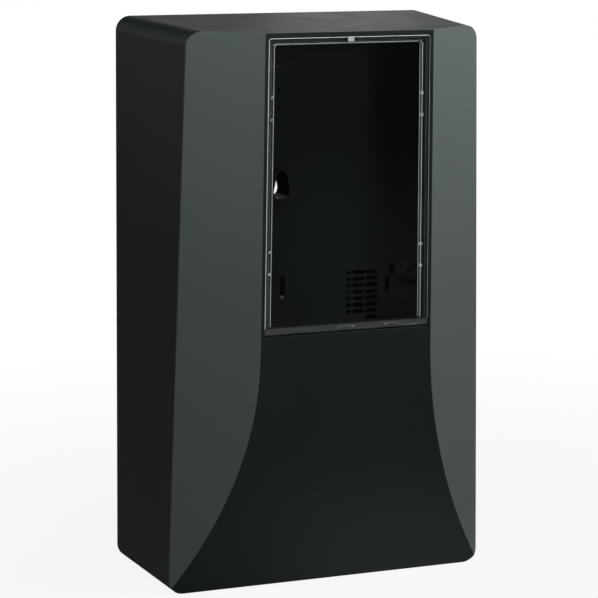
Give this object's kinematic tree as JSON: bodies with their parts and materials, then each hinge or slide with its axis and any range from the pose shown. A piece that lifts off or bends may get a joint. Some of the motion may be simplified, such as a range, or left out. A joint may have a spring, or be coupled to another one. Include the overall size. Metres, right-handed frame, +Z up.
{
  "type": "electricity meter box",
  "caption": "Wall-hung electricity meter box: black hood with grey wings, tall clear reading window that folds down, and a rear tray with keyhole and cable shelf.",
  "frame": {"origin": "centre of the wall face", "axes": "+X to the right as seen from the front, +Y back into the wall, +Z up"},
  "size_m": [0.368, 0.2061, 0.6],
  "materials": {
    "base_tray": "black moulded plastic, fine grain",
    "tray_seal": "black foam rubber",
    "entry_plate": "black moulded plastic",
    "entry_plate_screws": "zinc plated",
    "large_grommets": "black rubber",
    "small_grommets": "black rubber",
    "meter_screw": "zinc plated",
    "meter_nut": "zinc plated",
    "hood_shell": "black moulded plastic, satin",
    "wing_right": "grey moulded plastic, satin",
    "wing_left": "grey moulded plastic, satin",
    "wing_retainers": "spring steel",
    "window_gasket": "black foam rubber",
    "hood_screws": "stainless",
    "screw_seals": "black rubber",
    "hood_nuts": "zinc plated",
    "window_lid": "clear polycarbonate",
    "hinge_pins": "stainless",
    "window_lock": "light grey plastic",
    "lock_cam": "light grey plastic"
  },
  "bodies": {
    "base": {"base_tray": "base_tray", "tray_seal": "tray_seal", "entry_plate": "entry_plate", "entry_plate_screws": "entry_plate_screws", "large_grommets": "large_grommets", "small_grommets": "small_grommets", "meter_screw": "meter_screw", "meter_nut": "meter_nut"},
    "hood": {"hood_shell": "hood_shell", "wing_right": "wing_right", "wing_left": "wing_left", "wing_retainers": "wing_retainers", "window_gasket": "window_gasket", "hood_screws": "hood_screws", "screw_seals": "screw_seals", "hood_nuts": "hood_nuts"},
    "window": {"window_lid": "window_lid", "hinge_pins": "hinge_pins"},
    "lock": {"window_lock": "window_lock", "lock_cam": "lock_cam"}
  },
  "joints": [
    {"name": "hood_slide", "type": "slide", "parent": "base", "child": "hood", "axis": [0, -1, 0], "range_m": [0, 0.12]},
    {"name": "window_hinge", "type": "hinge", "parent": "hood", "child": "window", "pos_m": [0, -0.201, -0.015], "axis": [1, 0, 0], "range_deg": [0, 90]},
    {"name": "lock_turn", "type": "hinge", "parent": "window", "child": "lock", "pos_m": [0, -0.205, 0.2868], "axis": [0, -1, 0], "range_deg": [0, 90]}
  ]
}
